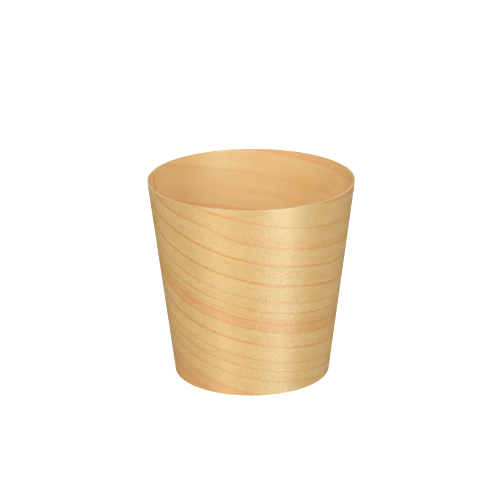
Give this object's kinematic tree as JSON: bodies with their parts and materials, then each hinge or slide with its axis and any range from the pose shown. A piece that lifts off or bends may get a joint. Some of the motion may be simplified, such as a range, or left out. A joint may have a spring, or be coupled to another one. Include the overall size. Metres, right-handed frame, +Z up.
{
  "type": "finger food cup",
  "caption": "Small tapered open cup of wrapped wood veneer with a glued side lap and a recessed floor disc.",
  "frame": {"origin": "on the cup's axis, in the plane of the foot", "axes": "+Z up along the axis from foot to rim, -Y to the front as pictured, the lap seam at the back left (-X, +Y)"},
  "size_m": [0.061, 0.061, 0.0593],
  "materials": {
    "veneer": "thin pine veneer with growth rings across the wall, smooth with a light satin sheen",
    "floor_disc": "flat sawn pine disc, plain and unvarnished"
  },
  "bodies": {
    "root": {"wall": "veneer", "base": "floor_disc"}
  },
  "joints": []
}
